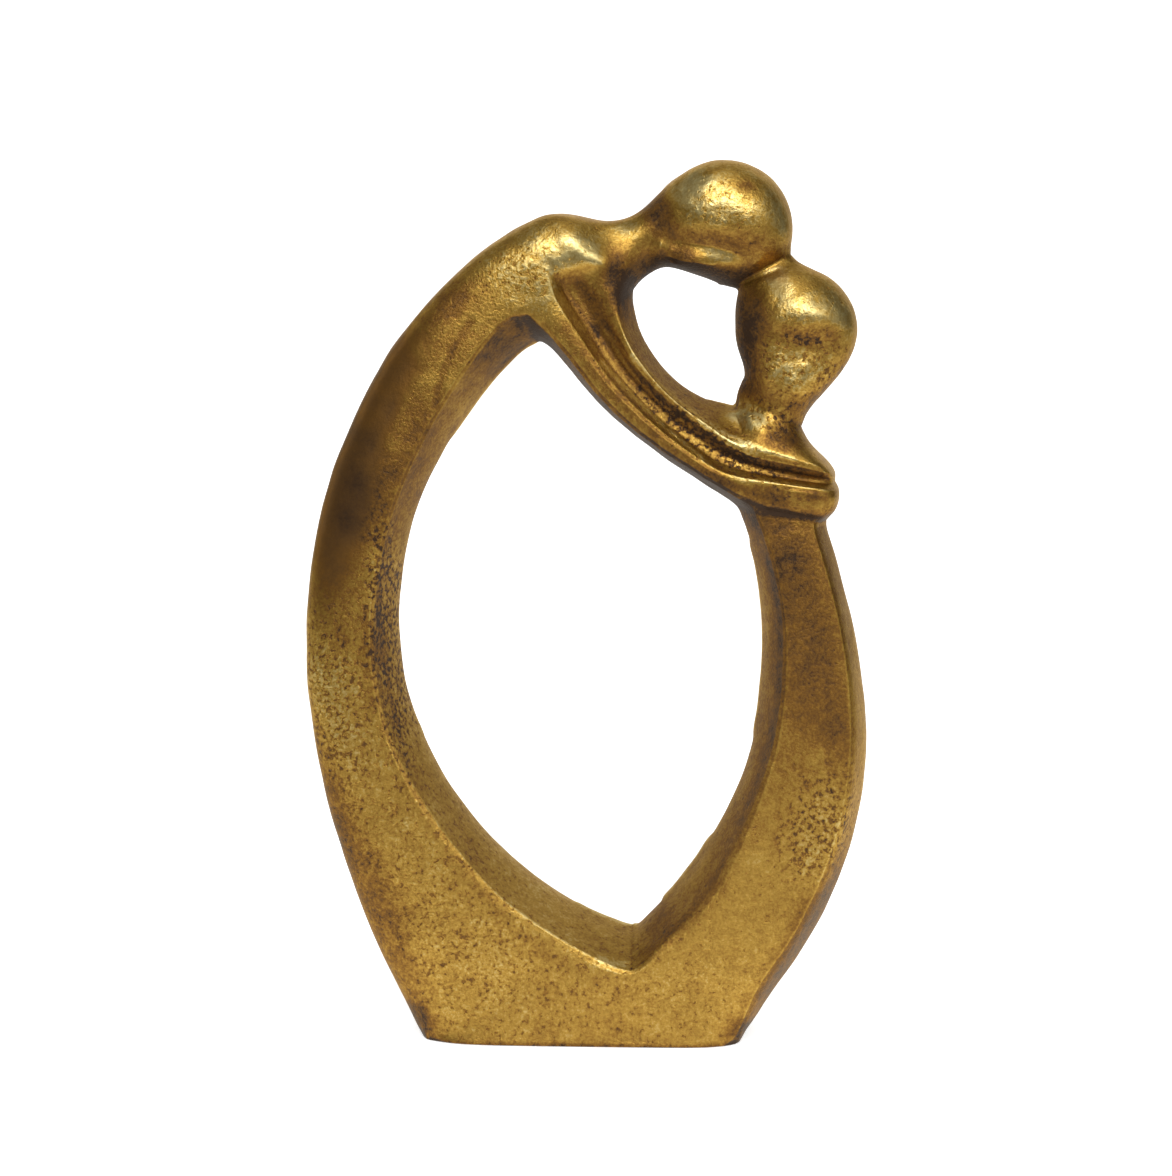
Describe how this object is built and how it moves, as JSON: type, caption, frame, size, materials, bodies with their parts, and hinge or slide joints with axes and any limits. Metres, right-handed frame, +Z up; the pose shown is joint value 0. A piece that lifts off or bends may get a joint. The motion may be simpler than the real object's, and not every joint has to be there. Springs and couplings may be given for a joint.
{
  "type": "mother and child sculpture",
  "caption": "Abstract cast table sculpture: a bending mother and her upright child close an open pointed arch, her banded arms round the child, on one flat foot.",
  "frame": {"origin": "centre of the footprint, on the surface that the foot stands on", "axes": "+Z up; +X from the mother's back towards the child; +Y away from the side that the picture shows"},
  "size_m": [0.1923, 0.0548, 0.3003],
  "materials": {
    "antique_gold": "antique gold with a dark brown patina in the hollows and pits, worn bright on the heads, shoulder and band edges"
  },
  "bodies": {
    "root": {"mother_and_child": "antique_gold"}
  },
  "joints": []
}
